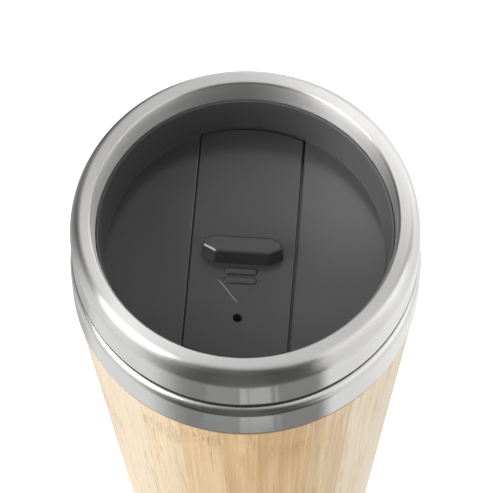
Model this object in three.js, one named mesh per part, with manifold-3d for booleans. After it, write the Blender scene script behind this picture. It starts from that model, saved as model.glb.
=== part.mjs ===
import * as THREE from 'three';
import { mergeVertices } from 'three/addons/utils/BufferGeometryUtils.js';
import Module from 'manifold-3d';

const wasm = await Module();
wasm.setup();

// Insulated travel mug: steel cup in a steel shell, bamboo sleeve, push-in lid with a slider.
// Sizes are in millimetres. The mug stands on z = 0 and the drinking side faces +Y.

// Facets round every turned piece
const FACETS = 48;
// Steps along a rounded edge
const ROUND_STEPS = 4;
// Facets round the vent holes
const VENT_FACETS = 12;
// Distance that a cutting solid runs past the faces it cuts
const CUT_PAST = 1;

// Steel cup
const HEIGHT = 170;
const LIP_INNER_RADIUS = 38;
const LIP_WIDTH = 2.8;
const LIP_WALL = 1;
const LIP_EDGE = 0.4;
const SHOULDER_OUT = 2.5;
const SHOULDER_DROP = 4.5;
const BELLY_HEIGHT = 17.2;
const BELLY_TURN_IN = 0.6;
const BELLY_TURN_HEIGHT = 1.6;
const CUP_WALL = 0.8;
const NECK_INSET = 0.9;
const NECK_FLARE_HEIGHT = 7;
const NECK_DEPTH = 33;
const CUP_FLOOR_RISE = 12;
const CUP_CORNER = 6;

// Outer shell with its visible band
const GROOVE_HEIGHT = 2;
const BAND_HEIGHT = 12.3;
const BAND_STEP_OUT = 0.7;
const BAND_ROUND_OUT = 1.4;
const BAND_ROUND_DROP = 3.2;
const SHELL_WALL = 0.8;
const INSULATION_GAP = 2;

// Bamboo sleeve
const SLEEVE_WALL = 3.5;
const SLEEVE_TAPER = 10.8;
const SLEEVE_FIT = 0.3;
const SLEEVE_EDGE = 0.5;

// Base cap and foot pad
const BASE_RING_HEIGHT = 3.2;
const BASE_EDGE = 0.6;
const BASE_WALL = 1;
const BASE_COLLAR_HEIGHT = 6;
const BASE_FIT = 0.3;
const PAD_INSET = 6.5;
const PAD_THICKNESS = 1.4;
const PAD_PROUD = 0.7;
const PAD_EDGE = 0.4;

// Joint ring in the groove under the belly
const RING_TUCK = 5;
const RING_FIT = 0.3;

// Lid
const LID_SINK = 6.7;
const LID_FIT = 0.3;
const BOWL_DEPTH = 11.5;
const BOWL_WALL = 1.8;
const BOWL_FILLET = 0.6;
const RIM_WALL = 0.6;
const RIM_EDGE = 0.2;
const DECK_WALL = 1.6;
const LID_SKIRT_DROP = 11;
const LID_SKIRT_WALL = 2.6;
const LID_LEAD_IN = 0.8;

// Lid gasket
const GASKET_HEIGHT = 3.2;
const GASKET_LIFT = 1.6;
const GASKET_GROOVE_DEPTH = 1.3;
const GASKET_FIT = 0.3;
const GASKET_LIP = 0.6;
const GASKET_WALL_GAP = 0.15;

// Slider and the channel that it runs in
const SLIDER_WIDTH = 26.2;
const SLIDER_SIDE_GAP = 0.55;
const SLIDER_END_GAP = 0.4;
const SLIDER_THICKNESS = 2.6;
const SLIDER_RUN_GAP = 0.4;
const SLIDER_TRAVEL = 5.1;
const SLIDER_STOP_GAP = 0.2;
const FLANGE_OUT = 1.5;
const RAIL_THICKNESS = 1.2;
const RAIL_GAP = 0.3;
const TROUGH_WALL = 1.5;
const TROUGH_FLOOR = 1.6;

// Thumb tab
const TAB_HEIGHT = 5;
const TAB_ROOT = 0.5;
const TAB_HALF_WIDTH = 10.3;
const TAB_FRONT_HALF = 7;
const TAB_FRONT = 3.8;
const TAB_SHOULDER = 2;
const TAB_REAR = 2.4;
const TAB_REAR_SHOULDER = 1;
const TAB_DRAFT_FRONT = 0.8;
const TAB_DRAFT_SIDE = 0.6;
const TAB_DRAFT_REAR = 0.9;

// Drink slot, vent and seal
const SLOT_HALF_WIDTH = 10;
const SLOT_COVER = 0.6;
const SLOT_OPEN_MARGIN = 0.1;
const VENT_RADIUS = 1.1;
const VENT_FORWARD = 18.7;
const SEAL_THICKNESS = 0.9;
const SEAL_SIDE_COVER = 1.4;
const SEAL_INNER_COVER = 1.2;
const SEAL_POCKET_FIT = 0.2;
const SEAL_END_WALL = 0.2;
const SEAL_LIFT = 0.2;

// Levels, from the lip down
const lipZ = HEIGHT;
const bellyFootZ = lipZ - BELLY_HEIGHT;
const bandTopZ = bellyFootZ - GROOVE_HEIGHT;
const sleeveTopZ = bandTopZ - BAND_HEIGHT;
const baseLowZ = PAD_PROUD;
const baseLedgeZ = baseLowZ + BASE_RING_HEIGHT;
const sleeveFootZ = baseLedgeZ;

// Radii of the cup, the shell and the sleeve
const lipOuterRadius = LIP_INNER_RADIUS + LIP_WIDTH;
const bellyRadius = lipOuterRadius + SHOULDER_OUT;
const bandRadius = bellyRadius + BAND_STEP_OUT;
const neckRadius = LIP_INNER_RADIUS - NECK_INSET;
const neckOuterRadius = neckRadius + CUP_WALL;
const skirtInnerRadius = bellyRadius - CUP_WALL;
const sleeveFootRadius = bandRadius - SLEEVE_TAPER;
const taper = SLEEVE_TAPER / (sleeveTopZ - sleeveFootZ);
const sleeveRadius = (z) => sleeveFootRadius + taper * (z - sleeveFootZ);
const shellRadius = (z) => sleeveRadius(z) - SLEEVE_WALL - SLEEVE_FIT;
const shellInnerRadius = (z) => shellRadius(z) - SHELL_WALL;

// Points along a quarter round from the first to the last corner, leaving along the given axis
function quarter(r0, z0, r1, z1, upFirst) {
  const points = [];
  for (let i = 0; i <= ROUND_STEPS; i += 1) {
    const t = (i / ROUND_STEPS) * Math.PI / 2;
    const a = upFirst ? 1 - Math.cos(t) : Math.sin(t);
    const b = upFirst ? Math.sin(t) : 1 - Math.cos(t);
    points.push([r0 + (r1 - r0) * a, z0 + (z1 - z0) * b]);
  }
  return points;
}

// Turned solid from a profile of radius and height
function turned(profile) {
  const points = profile.map(([r, z]) => new THREE.Vector2(r, z));
  const geometry = new THREE.LatheGeometry(points, FACETS);
  geometry.rotateX(Math.PI / 2);
  return geometry;
}

// Turned ring whose profile closes on itself
function turnedRing(profile) {
  return turned([...profile, profile[0]]);
}

// Plate of a given outline between two heights
function plate(outline, low, high) {
  const shape = new THREE.Shape(outline.map(([x, y]) => new THREE.Vector2(x, y)));
  const geometry = new THREE.ExtrudeGeometry(shape, { depth: high - low, bevelEnabled: false });
  geometry.translate(0, 0, low);
  return geometry;
}

// Rectangular plate, symmetric in x, between two y values and two heights
function strip(halfWidth, y0, y1, low, high) {
  return plate([[-halfWidth, y0], [halfWidth, y0], [halfWidth, y1], [-halfWidth, y1]], low, high);
}

// Turned disc between two heights
function disc(radius, low, high) {
  return turned([[0, low], [radius, low], [radius, high], [0, high]]);
}

// Solid between a foot outline and a top outline with the same number of corners
function loft(foot, top, low, high) {
  const count = foot.length;
  const positions = [];
  foot.forEach(([x, y]) => positions.push(x, y, low));
  top.forEach(([x, y]) => positions.push(x, y, high));
  const index = [];
  for (let i = 0; i < count; i += 1) {
    const j = (i + 1) % count;
    index.push(i, j, count + j, i, count + j, count + i);
  }
  for (let i = 1; i < count - 1; i += 1) {
    index.push(0, i + 1, i);
    index.push(count, count + i, count + i + 1);
  }
  const geometry = new THREE.BufferGeometry();
  geometry.setAttribute('position', new THREE.Float32BufferAttribute(positions, 3));
  geometry.setIndex(index);
  return geometry;
}

// Closed solid ready for joining and cutting
function solid(geometry) {
  const bare = geometry.clone();
  bare.deleteAttribute('normal');
  bare.deleteAttribute('uv');
  const welded = mergeVertices(bare, 1e-5);
  const mesh = new wasm.Mesh({
    numProp: 3,
    vertProperties: new Float32Array(welded.attributes.position.array),
    triVerts: new Uint32Array(welded.index.array),
  });
  return new wasm.Manifold(mesh);
}

// Drawable geometry of a joined or cut solid
function drawable(manifold) {
  const mesh = manifold.getMesh();
  const geometry = new THREE.BufferGeometry();
  geometry.setAttribute('position', new THREE.BufferAttribute(mesh.vertProperties, 3));
  geometry.setIndex(new THREE.BufferAttribute(mesh.triVerts, 1));
  const flat = geometry.toNonIndexed();
  flat.computeVertexNormals();
  return flat;
}

const steel = { color: 0xc9c8c5, roughness: 0.28, metalness: 1 };
const bamboo = { color: 0xd9b983, roughness: 0.55, metalness: 0 };
const plastic = { color: 0x3f4042, roughness: 0.5, metalness: 0 };
const silicone = { color: 0x8c8d8e, roughness: 0.75, metalness: 0 };

function piece(name, geometry, finish) {
  const mesh = new THREE.Mesh(geometry, new THREE.MeshStandardMaterial(finish));
  mesh.name = name;
  return mesh;
}

// Cup: floor, tapered wall, neck, flat lip, rounded shoulder and belly in one steel sheet
const neckFootZ = lipZ - NECK_DEPTH;
const neckFlareZ = lipZ - NECK_FLARE_HEIGHT;
const cupFloorZ = baseLedgeZ + CUP_FLOOR_RISE;
const cupUnderZ = cupFloorZ - CUP_WALL;
const cupCornerZ = cupUnderZ + CUP_CORNER;
const cupFootOuter = shellInnerRadius(cupCornerZ) - INSULATION_GAP;
const cupFootInner = cupFootOuter - CUP_WALL;
const innerCorner = CUP_CORNER - CUP_WALL;
const bellyTurnZ = bellyFootZ + BELLY_TURN_HEIGHT;
const cup = turned([
  [0, cupUnderZ],
  ...quarter(cupFootOuter - CUP_CORNER, cupUnderZ, cupFootOuter, cupCornerZ, false),
  [neckOuterRadius, neckFootZ],
  [neckOuterRadius, neckFlareZ],
  [neckOuterRadius + NECK_INSET, lipZ - LIP_WALL],
  [lipOuterRadius - CUP_WALL, lipZ - LIP_WALL],
  [skirtInnerRadius, lipZ - SHOULDER_DROP],
  [skirtInnerRadius, bellyTurnZ],
  [skirtInnerRadius - BELLY_TURN_IN, bellyFootZ],
  [bellyRadius - BELLY_TURN_IN, bellyFootZ],
  ...quarter(bellyRadius - BELLY_TURN_IN, bellyFootZ, bellyRadius, bellyTurnZ, false).slice(1),
  ...quarter(bellyRadius, lipZ - SHOULDER_DROP, lipOuterRadius, lipZ, true),
  [LIP_INNER_RADIUS + LIP_EDGE, lipZ],
  [LIP_INNER_RADIUS, lipZ - LIP_EDGE],
  [neckRadius, neckFlareZ],
  [neckRadius, neckFootZ],
  ...quarter(cupFootInner, cupFloorZ + innerCorner, cupFootInner - innerCorner, cupFloorZ, true),
  [0, cupFloorZ],
]);

// Outer shell: rounded band on show above the bamboo, tapered tube inside it
const shellStepZ = sleeveTopZ + SHELL_WALL;
const flangeInner = neckOuterRadius + RING_FIT;
const shell = turnedRing([
  [shellRadius(sleeveFootZ), sleeveFootZ],
  [shellRadius(sleeveTopZ), sleeveTopZ],
  [bandRadius, sleeveTopZ],
  ...quarter(bandRadius, bandTopZ - BAND_ROUND_DROP, bandRadius - BAND_ROUND_OUT, bandTopZ, true),
  [flangeInner, bandTopZ],
  [flangeInner, bandTopZ - SHELL_WALL],
  [bandRadius - BAND_ROUND_OUT - SHELL_WALL, bandTopZ - SHELL_WALL],
  [bandRadius - SHELL_WALL, bandTopZ - BAND_ROUND_DROP],
  [bandRadius - SHELL_WALL, shellStepZ],
  [shellInnerRadius(shellStepZ), shellStepZ],
  [shellInnerRadius(sleeveFootZ), sleeveFootZ],
]);

// Bamboo sleeve: tapered turned tube with eased ends, under the band and over the shell
const sleeveHighZ = sleeveTopZ - SLEEVE_FIT;
const sleeveLowZ = sleeveFootZ + SLEEVE_FIT;
const sleeve = turnedRing([
  [sleeveRadius(sleeveLowZ) - SLEEVE_WALL, sleeveLowZ],
  [sleeveRadius(sleeveLowZ) - SLEEVE_EDGE, sleeveLowZ],
  [sleeveRadius(sleeveLowZ + SLEEVE_EDGE), sleeveLowZ + SLEEVE_EDGE],
  [sleeveRadius(sleeveHighZ - SLEEVE_EDGE), sleeveHighZ - SLEEVE_EDGE],
  [sleeveRadius(sleeveHighZ) - SLEEVE_EDGE, sleeveHighZ],
  [sleeveRadius(sleeveHighZ) - SLEEVE_WALL, sleeveHighZ],
]);

// Joint ring: dark spacer on the shell's flange that centres the cup and closes the gap
const ring = turnedRing([
  [neckOuterRadius + RING_FIT, bandTopZ],
  [skirtInnerRadius - BELLY_TURN_IN - RING_FIT, bandTopZ],
  [skirtInnerRadius - BELLY_TURN_IN - RING_FIT, bandTopZ + RING_TUCK],
  [neckOuterRadius + RING_FIT, bandTopZ + RING_TUCK],
]);

// Base cap: steel ring on show under the bamboo, collar inside the shell, pocket for the pad
const padRadius = sleeveFootRadius - PAD_INSET;
const padTopZ = PAD_THICKNESS;
const collarRadius = shellInnerRadius(baseLedgeZ) - BASE_FIT;
const capTopZ = padTopZ + BASE_WALL;
const baseCap = turned([
  [0, padTopZ],
  [padRadius + BASE_FIT, padTopZ],
  [padRadius + BASE_FIT, baseLowZ],
  [sleeveFootRadius - BASE_EDGE, baseLowZ],
  [sleeveFootRadius, baseLowZ + BASE_EDGE],
  [sleeveFootRadius, baseLedgeZ],
  [collarRadius, baseLedgeZ],
  [collarRadius, baseLedgeZ + BASE_COLLAR_HEIGHT],
  [collarRadius - BASE_WALL, baseLedgeZ + BASE_COLLAR_HEIGHT],
  [collarRadius - BASE_WALL, capTopZ],
  [0, capTopZ],
]);

// Foot pad: soft disc in the cap's pocket that the mug stands on
const footPad = turned([
  [0, 0],
  [padRadius - PAD_EDGE, 0],
  [padRadius, PAD_EDGE],
  [padRadius, padTopZ],
  [0, padTopZ],
]);

// Lid levels and radii, measured from the deck beside the slider
const rimZ = BOWL_DEPTH;
const deckZ = lipZ - LID_SINK - BOWL_DEPTH;
const plugRadius = neckRadius - LID_FIT;
const bowlRadius = plugRadius - BOWL_WALL;
const lidSkirtInner = plugRadius - LID_SKIRT_WALL;
const lidFootZ = -LID_SKIRT_DROP;
const grooveLowZ = lidFootZ + GASKET_LIFT;
const grooveHighZ = grooveLowZ + GASKET_HEIGHT;
const grooveRadius = plugRadius - GASKET_GROOVE_DEPTH;
const channelZ = -SLIDER_THICKNESS - SLIDER_RUN_GAP;
const troughUnderZ = channelZ - TROUGH_FLOOR;
const sliderHalf = SLIDER_WIDTH / 2;
const channelHalf = sliderHalf + SLIDER_SIDE_GAP;
const railHalf = sliderHalf + FLANGE_OUT + SLIDER_SIDE_GAP;
const sliderEnd = bowlRadius - SLIDER_END_GAP;

// Lid blank: bowl with a drafted wall, thin deck and plug skirt with the gasket groove
const lidBlank = solid(turned([
  [0, -DECK_WALL],
  [lidSkirtInner, -DECK_WALL],
  [lidSkirtInner, lidFootZ],
  [plugRadius - LID_LEAD_IN, lidFootZ],
  [plugRadius, lidFootZ + LID_LEAD_IN],
  [plugRadius, grooveLowZ],
  [grooveRadius, grooveLowZ],
  [grooveRadius, grooveHighZ],
  [plugRadius, grooveHighZ],
  [plugRadius, rimZ - RIM_EDGE],
  [plugRadius - RIM_EDGE, rimZ],
  [plugRadius - RIM_WALL + RIM_EDGE, rimZ],
  [plugRadius - RIM_WALL, rimZ - RIM_EDGE],
  ...quarter(bowlRadius, BOWL_FILLET, bowlRadius - BOWL_FILLET, 0, true),
  [0, 0],
]));

// Trough under the deck with a T-shaped channel between the two rails
const reach = plugRadius + CUT_PAST;
const troughBlock = solid(disc(lidSkirtInner, troughUnderZ, 0))
  .intersect(solid(strip(railHalf + TROUGH_WALL, -reach, reach, troughUnderZ, 0)));
const channelTop = solid(disc(bowlRadius, channelZ, CUT_PAST))
  .intersect(solid(strip(channelHalf, -reach, reach, channelZ, CUT_PAST)));
const channelFoot = solid(disc(bowlRadius, channelZ, -RAIL_THICKNESS))
  .intersect(solid(strip(railHalf, -reach, reach, channelZ, -RAIL_THICKNESS)));

// Drink slot along the far wall, open only when the slider is pushed forward
const slotOuter = sliderEnd - SLOT_COVER;
const slotInner = sliderEnd - SLIDER_TRAVEL + SLOT_OPEN_MARGIN;
const slotLow = troughUnderZ - CUT_PAST;
const slotHigh = channelZ + CUT_PAST;
const slotCut = solid(disc(slotOuter, slotLow, slotHigh))
  .subtract(solid(disc(slotInner, slotLow - CUT_PAST, slotHigh + CUT_PAST)))
  .intersect(solid(strip(SLOT_HALF_WIDTH, 0, reach, slotLow, slotHigh)));

// Vent pin at a distance in front of the middle of the lid
function ventPin(forward, low, high) {
  const outline = [];
  for (let i = 0; i < VENT_FACETS; i += 1) {
    const t = (i / VENT_FACETS) * Math.PI * 2;
    outline.push([VENT_RADIUS * Math.cos(t), VENT_RADIUS * Math.sin(t) - forward]);
  }
  return solid(plate(outline, low, high));
}

const lidBody = lidBlank
  .add(troughBlock)
  .subtract(channelTop)
  .subtract(channelFoot)
  .subtract(slotCut)
  .subtract(ventPin(VENT_FORWARD + SLIDER_TRAVEL, slotLow, slotHigh));

// Gasket: silicone ring in the plug's groove with a wiping lip against the neck
const gasketInner = grooveRadius + GASKET_FIT;
const gasketOuter = neckRadius - GASKET_WALL_GAP;
const gasketLow = grooveLowZ + GASKET_FIT;
const gasketHigh = grooveHighZ - GASKET_FIT;
const gasketMid = (gasketLow + gasketHigh) / 2;
const gasket = turnedRing([
  [gasketInner, gasketLow],
  [plugRadius, gasketLow],
  [gasketOuter, gasketMid - GASKET_LIP],
  [gasketOuter, gasketMid + GASKET_LIP],
  [plugRadius, gasketHigh],
  [gasketInner, gasketHigh],
]);

// Slider plate: both ends follow the bowl wall, the front one with room to travel
const sliderLow = channelZ + SLIDER_RUN_GAP;
const flangeHigh = -RAIL_THICKNESS - RAIL_GAP;
const frontShift = SLIDER_TRAVEL + SLIDER_STOP_GAP - SLIDER_END_GAP;
const sliderTop = solid(strip(sliderHalf, -reach, reach, sliderLow, 0));
const sliderFlanges = solid(strip(sliderHalf + FLANGE_OUT, -reach, reach, sliderLow, flangeHigh));
const farRound = solid(disc(sliderEnd, sliderLow - CUT_PAST, CUT_PAST));
const frontRound = farRound.translate([0, frontShift, 0]);

// Thumb tab: drafted hump with its front corners cut back
const tabSide = TAB_HALF_WIDTH - TAB_DRAFT_SIDE;
const tabFrontTop = TAB_FRONT - TAB_DRAFT_FRONT;
const tabRearTop = TAB_REAR - TAB_DRAFT_REAR;
const tabRearHalf = TAB_FRONT_HALF + TAB_DRAFT_SIDE;
function tabOutline(half, frontHalf, front, shoulder, rearShoulder, rear, rearHalf) {
  return [
    [-frontHalf, -front], [frontHalf, -front], [half, -shoulder], [half, rearShoulder],
    [rearHalf, rear], [-rearHalf, rear], [-half, rearShoulder], [-half, -shoulder],
  ];
}
const tab = solid(loft(
  tabOutline(TAB_HALF_WIDTH, TAB_FRONT_HALF, TAB_FRONT, TAB_SHOULDER,
    TAB_REAR_SHOULDER, TAB_REAR, tabRearHalf),
  tabOutline(tabSide, TAB_FRONT_HALF - TAB_DRAFT_SIDE, tabFrontTop, TAB_SHOULDER - TAB_DRAFT_SIDE,
    TAB_REAR_SHOULDER - TAB_DRAFT_SIDE, tabRearTop, tabRearHalf - TAB_DRAFT_SIDE),
  -TAB_ROOT, TAB_HEIGHT,
));

// Seal pad under the slider's far end and the pocket that it sits in
const sealHalf = SLOT_HALF_WIDTH + SEAL_SIDE_COVER;
const slotCornerY = Math.sqrt(slotInner ** 2 - SLOT_HALF_WIDTH ** 2);
const sealInnerY = slotCornerY - SEAL_INNER_COVER;
const sealOuter = sliderEnd - SEAL_END_WALL - SEAL_POCKET_FIT;
const sealLow = channelZ + SEAL_LIFT;
const sealHigh = sealLow + SEAL_THICKNESS;
function sealShape(grow, low, high) {
  return solid(disc(sealOuter + grow, low, high))
    .intersect(solid(strip(sealHalf + grow, sealInnerY - grow, reach, low, high)));
}
const sliderSeal = sealShape(0, sealLow, sealHigh);
const sealPocket = sealShape(SEAL_POCKET_FIT, sliderLow - CUT_PAST, sealHigh);

const sliderBody = sliderTop
  .add(sliderFlanges)
  .intersect(farRound)
  .intersect(frontRound)
  .add(tab)
  .subtract(sealPocket)
  .subtract(ventPin(VENT_FORWARD, sliderLow - CUT_PAST, CUT_PAST));

const sliderGroup = new THREE.Group();
sliderGroup.name = 'slider_group';
sliderGroup.add(
  piece('slider', drawable(sliderBody), plastic),
  piece('slider_seal', drawable(sliderSeal), silicone),
);

const lidGroup = new THREE.Group();
lidGroup.name = 'lid_group';
lidGroup.position.z = deckZ;
lidGroup.add(
  piece('lid', drawable(lidBody), plastic),
  piece('lid_gasket', gasket, silicone),
  sliderGroup,
);

const group = new THREE.Group();
group.name = 'insulated_mug';
group.add(
  piece('cup', cup, steel),
  piece('joint_ring', ring, plastic),
  piece('outer_shell', shell, steel),
  piece('bamboo_sleeve', sleeve, bamboo),
  piece('base_cap', baseCap, steel),
  piece('foot_pad', footPad, silicone),
  lidGroup,
);

export default group;
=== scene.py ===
import math

import bmesh
import bpy
import numpy as np
from mathutils import Matrix


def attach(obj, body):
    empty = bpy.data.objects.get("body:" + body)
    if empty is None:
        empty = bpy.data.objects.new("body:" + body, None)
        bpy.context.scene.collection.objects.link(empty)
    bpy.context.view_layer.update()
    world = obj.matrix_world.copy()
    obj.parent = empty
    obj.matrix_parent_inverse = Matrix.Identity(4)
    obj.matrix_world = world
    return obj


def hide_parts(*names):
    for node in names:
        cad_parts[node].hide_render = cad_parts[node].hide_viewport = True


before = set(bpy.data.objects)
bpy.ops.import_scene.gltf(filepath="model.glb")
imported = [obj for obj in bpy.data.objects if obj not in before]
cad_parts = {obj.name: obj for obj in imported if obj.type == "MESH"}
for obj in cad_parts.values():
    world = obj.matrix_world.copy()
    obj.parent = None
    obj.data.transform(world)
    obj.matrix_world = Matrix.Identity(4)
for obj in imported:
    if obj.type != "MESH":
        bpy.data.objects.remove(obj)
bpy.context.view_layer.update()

# Lengths of the mug in millimetres. Heights of the lid and the slider count from the decks.
MM = 0.001
TURNS = 256
LIP_Z = 170.0
LIP_OUT, BELLY, BAND = 40.35, 43.3, 44.0
LIP_ROLL_TOP, LIP_ROLL_IN, LIP_ROLL_DROP = 38.4, 37.2, 4.2
SHOULDER_DROP = 6.4
STEEL = 0.8
NECK, NECK_OUT, NECK_TOP, NECK_FOOT = 37.1, 37.9, LIP_Z - 7, LIP_Z - 33
CUP_FLOOR_R, CUP_FLOOR_Z = 28.2, 15.1
BELLY_FOOT = 152.6
BAND_TOP, BAND_ROUND_IN, BAND_ROUND_DROP = 150.8, 2.0, 2.6
SLEEVE_TOP, SLEEVE_FOOT = 138.5, 3.9
SLEEVE_WALL, SLEEVE_SET_BACK, SLEEVE_END_GAP, SLEEVE_END = 3.2, 0.25, 0.3, 0.6
SHELL_INSIDE_SLEEVE = 3.8
FOOT_RADIUS = 33.2
TAPER = (BAND - FOOT_RADIUS) / (SLEEVE_TOP - SLEEVE_FOOT)
RING_IN, RING_OUT, RING_TALL = 38.2, 41.6, 5.0
PAD_R, PAD_TALL = 26.7, 1.4

DECK_Z = 151.8
PLUG, BOWL, SKIRT_IN, RIM_BEAD, FILLET = 36.8, 35.0, 34.2, 36.95, 0.1
GROOVE_IN, GROOVE_LOW, GROOVE_TOP = 35.5, -9.4, -6.2
RIM_Z, PLUG_Z = 11.5, -11.0
DECK_LOW, DECK_EDGE_LOW = -1.2, -1.6
CHANNEL_LEFT, CHANNEL_RIGHT, CHANNEL_Z = 13.84, 12.9, -3.0
FLOOR_LOW, FLOOR_REACH = CHANNEL_Z - 1.6, 34.9
RAIL_HALF, RAIL_TOP, RAIL_LOW, RAIL_REACH = 15.15, -1.1, -1.6, 34.0
SLOT_HALF, SLOT_NEAR, SLOT_FAR = 10.0, 29.6, 34.0

PLATE_HALF, PLATE_LOW, PLATE_END, FRONT_SHIFT = 12.98, -2.6, 34.6, 4.9
FLANGE_OUT, FLANGE_LAP, FLANGE_TOP = 1.4, 0.1, -2.1
EDGE_EASE = 0.22
VENT_Y, VENT_R, VENT_HALF = -18.7, 1.1, 3.0
TRAVEL = 5.1
SLIDER_PLAY, TAB_PLAY, MARK_PLAY = -0.64, -0.04, -0.14
TAB_H, TAB_BEVEL, BEVEL_FOOT = 5.0, 0.42, 0.936
MARK_BEVEL, MARK_RISE, MARK_ROOT = 0.19, 0.115, -0.3
MARK_BARS_Y, BAR_LENGTH, BAR_WIDTH, BAR_RISE, BAR_ROUND = (-5.9, -8.45), 8.4, 2.1, 0.55, 0.6
SEAL_HALF, SEAL_NEAR, SEAL_FAR, SEAL_TOP, SEAL_LOW = 11.4, 26.7, 34.2, CHANNEL_Z + 1.1, CHANNEL_Z + 0.2


def sleeve_radius(z):
    """Outside radius of the tapered body at a height: a straight line from the foot to the band."""
    return FOOT_RADIUS + TAPER * (z - SLEEVE_FOOT)


def shell_side(z):
    """Outside radius of the shell's tube at a height, a fixed distance inside the body's taper."""
    return sleeve_radius(z) - SHELL_INSIDE_SLEEVE


def bamboo_side(z):
    """Outside radius of the bamboo at a height, set back a little under the band."""
    return sleeve_radius(z) - SLEEVE_SET_BACK


# Shapes


def eased(corners, closed=False, steps=6, limit=0.48):
    """Line through (a, b, ease) corners. Each corner becomes the parabola that leaves the leg before it and meets
    the leg after it at the ease distance, kept under a limit, as a share of either leg."""
    c = np.array(corners, float)
    p, ease = c[:, :2], c[:, 2]
    before, after = np.roll(p, 1, 0), np.roll(p, -1, 0)
    leg_in, leg_out = before - p, after - p
    size_in = np.maximum(np.hypot(*leg_in.T), 1e-9)
    size_out = np.maximum(np.hypot(*leg_out.T), 1e-9)
    if not closed:
        ease[[0, -1]] = 0.0
    cut = np.minimum(ease, limit * np.minimum(size_in, size_out))
    a = p + leg_in / size_in[:, None] * cut[:, None]
    b = p + leg_out / size_out[:, None] * cut[:, None]
    t = np.linspace(0.0, 1.0, steps)[None, :, None]
    curve = a[:, None] * (1 - t) ** 2 + p[:, None] * 2 * t * (1 - t) + b[:, None] * t**2
    flat = [q if k > 0 else q[:1] for q, k in zip(curve, cut)]
    return np.concatenate(flat)


def guarded(line, closed=False, gap=0.12, long=6):
    """The same line with two more points near the ends of each long leg, so that shading turns only at the
    corners. A leg is long if it measures more than that many gaps."""
    p = np.asarray(line, float)
    q = np.roll(p, -1, 0)
    size = np.maximum(np.hypot(*(q - p).T), 1e-9)
    step = (q - p) / size[:, None] * gap
    long_leg = size > long * gap
    if not closed:
        long_leg[-1] = False
    keep = np.stack([np.ones_like(long_leg), long_leg, long_leg], 1)
    return np.stack([p, p + step, q - step], 1)[keep]


def arc(r0, z0, r1, z1, up_first, steps):
    """Quarter ellipse between two profile points, leaving along the height or along the radius."""
    t = np.linspace(0.0, np.pi / 2, steps)
    a, b = (1 - np.cos(t), np.sin(t)) if up_first else (np.sin(t), 1 - np.cos(t))
    return np.stack([r0 + (r1 - r0) * a, z0 + (z1 - z0) * b], 1)


def grid_faces(rows, cols, wrap_rows=False, wrap_cols=False):
    """Quads over a grid of rows and columns, which may close on themselves either way."""
    i = np.arange(rows if wrap_rows else rows - 1)
    j = np.arange(cols if wrap_cols else cols - 1)
    i, j = np.meshgrid(i, j, indexing="ij")
    i2, j2 = (i + 1) % rows, (j + 1) % cols
    quads = np.stack([i * cols + j, i2 * cols + j, i2 * cols + j2, i * cols + j2], -1)
    return quads.reshape(-1, 4)


def turned(profile, lift=0.0, closed=False):
    """Surface of revolution: (r, z) of the profile at angle t goes to (r cos t, r sin t, z + lift)."""
    t = np.linspace(0.0, 2 * np.pi, TURNS, endpoint=False)
    r, z = guarded(profile, closed).T
    points = np.stack([np.outer(np.cos(t), r), np.outer(np.sin(t), r), np.tile(z + lift, (TURNS, 1))], -1)
    return points.reshape(-1, 3), grid_faces(TURNS, len(r), True, closed)


def plate(x, y, top, low):
    """Closed plate over a grid of plan points x, y: the top sheet lies at the heights top, the lower sheet at low,
    and a wall joins the two sheets along the grid's edge."""
    rows, cols = x.shape
    top = np.broadcast_to(top, x.shape)
    upper = np.stack([x, y, top], -1).reshape(-1, 3)
    lower = np.stack([x, y, np.full(x.shape, low)], -1).reshape(-1, 3)
    count = rows * cols
    index = np.arange(count).reshape(rows, cols)
    edge = np.concatenate([index[:-1, 0], index[-1, :-1], index[:0:-1, -1], index[0, :0:-1]])
    onward = np.roll(edge, -1)
    wall = np.stack([edge, onward, onward + count, edge + count], -1)
    sheet = grid_faces(rows, cols)
    return np.concatenate([upper, lower]), np.concatenate([sheet, sheet[:, ::-1] + count, wall])


def edge_run(ease, gap=0.1, steps=5):
    """Distances from an edge at which its quarter round is stepped, with one more just past the round."""
    if not ease:
        return np.zeros(1)
    return np.append(ease * (1 - np.cos(np.linspace(0, np.pi / 2, steps))), ease + gap)


def fall(distance, ease):
    """How far an eased edge has dropped at a distance from it: a quarter circle of radius ease."""
    d = np.clip(ease - np.asarray(distance, float), 0, ease)
    return ease - np.sqrt(np.maximum(ease**2 - d**2, 0))


def bar(x0, x1, front, back, top, low, sides=(0.0, 0.0), ends=(0.0, 0.0), across=24, along=3):
    """Plate from x0 to x1 whose ends follow the curves front(x) and back(x). Its sides and ends drop off on top by
    quarter rounds of the given eases."""
    span = x1 - x0
    left, right = edge_run(sides[0]), edge_run(sides[1])
    u = np.concatenate([left[:-1], np.linspace(left[-1], span - right[-1], across), span - right[-2::-1]])
    x = x0 + u
    y0, y1 = front(x)[:, None], back(x)[:, None]
    near, far = edge_run(ends[0])[None], edge_run(ends[1])[None]
    s = np.linspace(0, 1, along)[None]
    inner = (y0 + near[:, -1:]) * (1 - s) + (y1 - far[:, -1:]) * s
    y = np.concatenate([y0 + near[:, :-1], inner, y1 - far[:, -2::-1]], 1)
    drop_x = np.maximum(fall(u, sides[0]), fall(span - u, sides[1]))
    drop_y = np.maximum(fall(y - y0, ends[0]), fall(y1 - y, ends[1]))
    height = top - np.maximum(drop_x[:, None], drop_y)
    return plate(np.broadcast_to(x[:, None], y.shape), y, height, low)


# Steps outwards and downwards of a hole's eased edge, as shares of the ease
HOLE_OUT = np.array([0.0, 0.1, 0.3, 0.6, 1.0, 1.4])
HOLE_DOWN = np.array([1.0, 0.56, 0.28, 0.08, 0.0, 0.0])


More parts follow.
